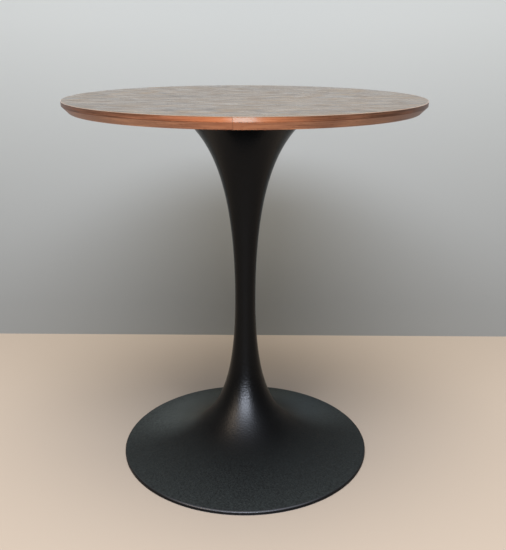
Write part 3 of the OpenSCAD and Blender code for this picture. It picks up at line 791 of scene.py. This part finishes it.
buildTop(topPlan)
print("tabletop turned")

# Pedestal: two spun trumpets that meet at the waist, each drawn by one cubic curve with a rolled rim
pedestalPlan = {
    "waistRadius": 21.2,
    "waistHeight": 346,
    "wall": 2.5,
    "flareRadius": 135,
    "flareTop": 728,
    "flareSlope": 42,  # degrees
    "flareLead": 52,  # the curve's handle at the rim; waistUp is its handle at the waist
    "waistUp": 297,
    "flareRound": 1.2,
    "flange": 12,
    "footRadius": 263,
    "footSlope": 5,
    "footLead": 152,
    "waistDown": 294,
    "rimHeight": 8,
    "rimRound": 3,
    "rimLift": 1.2,
    "steps": 72,
}


# a cubic curve's place and direction, from 0 at its start to 1 at its end
def curveAt(handles, t):
    s = 1 - t
    weights = (s ** 3, 3 * s * s * t, 3 * s * t * t, t ** 3)
    slopes = (-3 * s * s, 3 * s * s - 6 * s * t, 6 * s * t - 3 * t * t, 3 * t * t)
    at, going = [[sum(w * h[axis] for w, h in zip(factors, handles)) for axis in (0, 1)]
                 for factors in (weights, slopes)]
    return at, going


def curvePoints(handles, inset, steps):
    points = []
    for i in range(steps + 1):
        at, going = curveAt(handles, i / steps)
        size = math.hypot(*going)
        points.append((at[0] + inset * going[1] / size, at[1] - inset * going[0] / size))
    return points


def buildPedestal(plan):
    waist, joint, wall, steps = plan["waistRadius"], plan["waistHeight"], plan["wall"], plan["steps"]
    # upper trumpet, from the flare's rim down to the waist
    slope, bend = math.radians(plan["flareSlope"]), plan["flareRound"]
    centre = (plan["flareRadius"] - bend, plan["flareTop"] - bend)
    rim = (centre[0] + bend * math.sin(slope), centre[1] - bend * math.cos(slope))
    lead = (rim[0] - plan["flareLead"] * math.cos(slope), rim[1] - plan["flareLead"] * math.sin(slope))
    curve = [rim, lead, (waist, joint + plan["waistUp"]), (waist, joint)]
    ceiling = plan["flareTop"] - wall
    inner = [q for q in curvePoints(curve, wall, steps) if q[1] < ceiling]
    lip = plan["flareRadius"] - plan["flange"]
    outline = corner(centre, bend, 90, plan["flareSlope"] - 90) + curvePoints(curve, 0, steps)[1:]
    outline += inner[::-1] + [(lip, ceiling), (lip, plan["flareTop"])]
    finishPiece(turned("flareShell", outline, powderCoat), "upper_trumpet")
    # lower trumpet, from the waist down to the foot's rim
    slope, bend = math.radians(plan["footSlope"]), plan["rimRound"]
    centre = (plan["footRadius"] - bend, plan["rimHeight"] - bend)
    rim = (centre[0] + bend * math.sin(slope), centre[1] + bend * math.cos(slope))
    lead = (rim[0] - plan["footLead"] * math.cos(slope), rim[1] + plan["footLead"] * math.sin(slope))
    curve = [(waist, joint), (waist, joint - plan["waistDown"]), lead, rim]
    within = plan["footRadius"] - wall
    inner = [q for q in curvePoints(curve, wall, steps) if q[0] < within]
    outline = curvePoints(curve, 0, steps)[:-1] + corner(centre, bend, 90 - plan["footSlope"], 0)
    outline += [(plan["footRadius"], plan["rimLift"]), (within, plan["rimLift"]), (within, inner[-1][1])]
    outline += inner[::-1]
    finishPiece(turned("footShell", outline, powderCoat), "lower_trumpet")


buildPedestal(pedestalPlan)
print("pedestal turned")


# Hardware. A part is drawn by level loops of points, each one a shape, a size and a height in mm;
# a hexagon's size is its width across flats and the radius its corners are cut to, and a rippled
# loop's is its radius, the ripples' height and their number
def loopRadius(shape, size, angle):
    if shape == "hexagon":
        flats, cut = size
        return min(flats / 2 / math.cos(angle % (math.pi / 3) - math.pi / 6), cut)
    if shape == "rippled":
        radius, swell, ripples = size
        return radius + swell * math.cos(angle * ripples)
    return size


def looped(name, loops, material, segments=48, hollow=False):
    points, faces = [], []
    for shape, size, height in loops:
        for i in range(segments):
            angle = math.tau * i / segments
            radius = loopRadius(shape, size, angle) * mm
            points.append((radius * math.cos(angle), radius * math.sin(angle), height * mm))
    for row in range(len(loops) if hollow else len(loops) - 1):
        here, after = row * segments, (row + 1) % len(loops) * segments
        for i in range(segments):
            j = (i + 1) % segments
            faces.append((here + i, here + j, after + j, after + i))
    if not hollow:
        faces.append(tuple(range(segments)))
        faces.append(tuple(range(len(points) - segments, len(points))))
    piece = newObject(name, points, faces)
    piece.data.materials.append(material)
    return clean(piece)


# a rolled thread, drawn as rings at its pitch
def thread(outer, depth, first, last, pitch):
    count = int(abs(last - first) / pitch)
    step = math.copysign(pitch, last - first)
    loops = []
    for i in range(count):
        z = first + i * step
        loops += [("round", outer, z), ("round", outer, z + step * 0.2),
                  ("round", outer - depth, z + step * 0.5)]
    return loops + [("round", outer, first + count * step)]


# In the hardware below, the small numbers added to a size or a height are chamfers and roundings
boltPlan = {
    "count": 6,
    "circle": 196,
    "randomTurn": 1.0,  # radians at most
    "seed": 4,
    "head": (718.4, 722.4),  # lowest and highest point
    "flats": 10,
    "corner": 5.77,
    "shank": 3,
    "end": 740.4,
    "pitch": 1,
    "threadDepth": 0.34,
}


def buildBolts(plan):
    low, high = plan["head"]
    flats, full, shank = plan["flats"], plan["corner"], plan["shank"]
    loops = [("round", flats * 0.3, low + 0.25), ("round", flats * 0.42, low),
             ("hexagon", (flats, flats * 0.48), low), ("hexagon", (flats, full), low + 0.6),
             ("hexagon", (flats, full), high - 0.4),
             ("hexagon", (flats, flats * 0.5), high - 0.15), ("hexagon", (flats, flats * 0.5), high),
             ("round", shank + 0.25, high), ("round", shank, high + 0.25)]
    loops += thread(shank, plan["threadDepth"], high + 1.5, plan["end"] - 0.7, plan["pitch"])
    loops += [("round", shank * 0.78, plan["end"])]
    part = looped("boltPart", loops, zincSteel)
    finishPiece(ringOf("plateBolts", part, zincSteel, plan), "plate_bolts")


washerPlan = {
    "count": 6,
    "circle": 196,
    "randomTurn": 1.0,
    "seed": 5,
    "inner": 3.25,
    "outer": 6.25,
    "low": 722.4,
    "high": 724,
    "ease": 0.25,
}


def washerOutline(plan):
    inner, outer, low, high, ease = [plan[k] for k in ("inner", "outer", "low", "high", "ease")]
    return [(inner, low + ease), (inner + ease, low), (outer - ease * 0.4, low), (outer, low + ease * 0.4),
            (outer, high - ease), (outer - ease, high), (inner + ease * 0.4, high),
            (inner, high - ease * 0.4)]


def buildWashers(plan):
    part = turned("washerPart", washerOutline(plan), zincSteel, 40)
    finishPiece(ringOf("plateWashers", part, zincSteel, plan), "plate_washers")


insertPlan = {
    "count": 6,
    "circle": 196,
    "randomTurn": 0.6,
    "seed": 6,
    "bore": 3.05,
    "outer": 4.5,
    "low": 730,
    "high": 743,
    "pitch": 2,
    "threadDepth": 0.45,
    "innerPitch": 1,
    "innerDepth": 0.25,
}


def buildInserts(plan):
    bore, outer, low, high = plan["bore"], plan["outer"], plan["low"], plan["high"]
    loops = [("round", bore + 0.5, low), ("round", outer - 0.3, low), ("round", outer, low + 0.3)]
    loops += thread(outer, plan["threadDepth"], low + 0.8, high - 1.0, plan["pitch"])
    loops += [("round", outer - 0.6, high), ("round", bore + 0.2, high)]
    loops += thread(bore + plan["innerDepth"], plan["innerDepth"], high - 0.5, low + 1.0, plan["innerPitch"])
    part = looped("insertPart", loops, zincSteel, 40, True)
    finishPiece(ringOf("threadedInserts", part, zincSteel, plan), "threaded_inserts")


screwPlan = {
    "count": 6,
    "circle": 378,
    "randomTurn": 1.0,
    "seed": 7,
    "head": (1.5, 3.3),  # lowest and highest point
    "headRadius": 4.5,
    "recess": 3,
    "recessDepth": 1.1,
    "shank": 2.5,
    "end": 10.3,
    "pitch": 0.8,
    "threadDepth": 0.3,
}


def buildScrews(plan):
    low, high = plan["head"]
    wide, socket, shank = plan["headRadius"], plan["recess"], plan["shank"]
    loops = [("hexagon", (socket, socket), low + plan["recessDepth"]),
             ("hexagon", (socket, socket), low + 0.15), ("round", socket * 0.62, low),
             ("round", wide - 1.1, low), ("round", wide - 0.45, low + 0.15),
             ("round", wide - 0.1, low + 0.5), ("round", wide, low + 0.95), ("round", wide, high - 0.15),
             ("round", wide - 0.15, high), ("round", shank + 0.2, high), ("round", shank, high + 0.2)]
    loops += thread(shank, plan["threadDepth"], high + 0.5, plan["end"] - 0.5, plan["pitch"])
    loops += [("round", shank * 0.75, plan["end"])]
    part = looped("screwPart", loops, zincSteel)
    finishPiece(ringOf("coverScrews", part, zincSteel, plan), "cover_screws")


rodPlan = {
    "radius": 8,
    "low": 84.42,
    "high": 722,
    "chamfer": 1,
    "threaded": 64,
    "pitch": 2,
    "threadDepth": 0.9,
    "runOut": 1.5,
    "neck": 0.5,  # how much thinner the plain middle is
}


def buildRod(plan):
    radius, low, high, chamfer = plan["radius"], plan["low"], plan["high"], plan["chamfer"]
    threaded, depth, pitch, runOut = [plan[k] for k in ("threaded", "threadDepth", "pitch", "runOut")]
    plain = radius - plan["neck"]
    loops = [("round", radius - chamfer, low)]
    loops += thread(radius, depth, low + chamfer, low + threaded, pitch)
    loops += [("round", plain, low + threaded + runOut), ("round", plain, high - threaded - runOut)]
    loops += thread(radius, depth, high - threaded, high - chamfer, pitch)
    loops += [("round", radius - chamfer, high)]
    finishPiece(looped("tieRod", loops, zincSteel), "tie_rod")


nutPlan = {
    "flats": 24,
    "corner": 13.85,
    "bore": 8.05,
    "low": 92.42,
    "high": 105.42,
    "washer": {"inner": 8.5, "outer": 25, "thick": 4, "ease": 0.5},
}


def buildNut(plan):
    flats, full, bore, low, high = plan["flats"], plan["corner"], plan["bore"], plan["low"], plan["high"]
    loops = [("round", bore + 0.6, low), ("hexagon", (flats, flats * 0.48), low),
             ("hexagon", (flats, full), low + 1.4), ("hexagon", (flats, full), high - 1.4),
             ("hexagon", (flats, flats * 0.48), high), ("round", bore + 0.6, high),
             ("round", bore, high - 0.6), ("round", bore, low + 0.6)]
    finishPiece(looped("rodNut", loops, zincSteel, 72, True), "rod_nut")
    washer = {**plan["washer"], "low": high, "high": high + plan["washer"]["thick"]}
    finishPiece(turned("rodWasher", washerOutline(washer), zincSteel, 96), "rod_washer")


hubPlan = {
    "bore": 8.05,
    "outer": 18,
    "low": 696,
    "high": 724,
    "weldFoot": 22,
    "weldFrom": 720,
    "ripples": 44,
}


def buildHub(plan):
    bore, outer, low, high = plan["bore"], plan["outer"], plan["low"], plan["high"]
    weldFoot, weldFrom, ripples = plan["weldFoot"], plan["weldFrom"], plan["ripples"]
    swell = (weldFoot - outer) / 2
    loops = [("round", bore + 0.8, low), ("round", outer - 0.8, low), ("round", outer, low + 0.8),
             ("round", outer, weldFrom - 0.1),
             ("rippled", (outer + swell * 0.45, 0.12, ripples), weldFrom + 0.9),
             ("rippled", (outer + swell * 0.95, 0.16, ripples), weldFrom + 2),
             ("rippled", (outer + swell * 1.5, 0.12, ripples), weldFrom + 3.1),
             ("round", weldFoot - 0.05, high), ("round", bore + 0.6, high), ("round", bore, high - 0.6),
             ("round", bore, low + 0.8)]
    finishPiece(looped("plateHub", loops, blackSteel, 176, True), "plate_hub")


plugPlan = {
    "radius": 50,
    "low": 1.7,
    "flange": 3.3,
    "skirtInner": 42.7,
    "skirtOuter": 44.7,
    "high": 8.8,
}


# the plug's face has a small dimple in its middle and a shallow ring groove two thirds of the way out
def buildPlug(plan):
    radius, low, flange, high = plan["radius"], plan["low"], plan["flange"], plan["high"]
    inner, outer = plan["skirtInner"], plan["skirtOuter"]
    outline = [(0, low + 0.35), (2.2, low + 0.35), (2.5, low), (33, low), (33.5, low + 0.4),
               (36.5, low + 0.4), (37, low), (radius - 0.8, low), (radius - 0.2, low + 0.25),
               (radius, low + 0.8), (radius - 0.15, flange), (outer, flange), (outer, high - 2.4),
               (outer - 0.1, high - 0.8), (outer - 0.7, high), (inner + 0.4, high), (inner, high - 0.5),
               (inner, flange + 0.3), (inner - 0.3, flange), (0, flange)]
    finishPiece(turned("accessPlug", outline, blackPlastic, 144), "access_plug")


ringPlan = {
    "inner": 248.2,
    "outer": 262.4,
    "step": 260.2,
    "lip": 1.2,
    "high": 3.3,
    "ease": 0.4,
    "grooves": (0.25, 0.5, 0.75),  # places of three fine grooves that grip the floor
}


def buildFloorRing(plan):
    inner, outer, step, lip, high, ease = [plan[k] for k in ("inner", "outer", "step", "lip", "high", "ease")]
    outline = [(inner, ease), (inner + ease, 0)]
    for share in plan["grooves"]:
        middle = inner + (outer - inner) * share
        outline += [(middle - 0.6, 0), (middle - 0.3, 0.4), (middle + 0.3, 0.4), (middle + 0.6, 0)]
    outline += [(outer - ease, 0), (outer, ease), (outer, lip), (step, lip), (step, high), (inner, high)]
    finishPiece(turned("floorRing", outline, rubber), "floor_ring")


buildBolts(boltPlan)
buildWashers(washerPlan)
buildInserts(insertPlan)
buildScrews(screwPlan)
buildRod(rodPlan)
buildNut(nutPlan)
buildHub(hubPlan)
buildPlug(plugPlan)
buildFloorRing(ringPlan)
print("hardware built")

# the nodes that keep their own meshes get their finish, and so do the ones replaced above
finishes = (
    (walnutFace, ("top_veneer",)),
    (walnutBacking, ("backing_veneer",)),
    (uprightEdge, ("edge_band",)),
    (bevelEdge, ("bevel_band",)),
    (fibreboard, ("tabletop_core",)),
    (powderCoat, ("upper_trumpet", "lower_trumpet")),
    (blackSteel, ("mounting_plate", "plate_hub", "waist_sleeve", "base_cover")),
    (zincSteel, ("threaded_inserts", "plate_bolts", "plate_washers", "tie_rod", "rod_washer", "rod_nut",
                 "cover_screws")),
    (castIron, ("ballast_weight",)),
    (blackPlastic, ("access_plug",)),
    (rubber, ("rim_gasket", "floor_ring")),
)
for material, nodeNames in finishes:
    for nodeName in nodeNames:
        for slot in nodes[nodeName].material_slots:
            slot.material = material
print("finishes set on the remaining nodes")

# a lamp may leave some pieces out, or light nothing but the ones named
for name, plan in lamps.items():
    for key, state in (("leavesOut", "EXCLUDE"), ("lightsOnly", "INCLUDE")):
        if key in plan:
            chosen = bpy.data.collections.new(key + " " + name)
            for pieceName in plan[key]:
                chosen.objects.link(bpy.data.objects[pieceName])
            for entry in chosen.collection_objects:
                entry.light_linking.link_state = state
            bpy.data.objects[name].light_linking.receiver_collection = chosen
print("lamps linked")
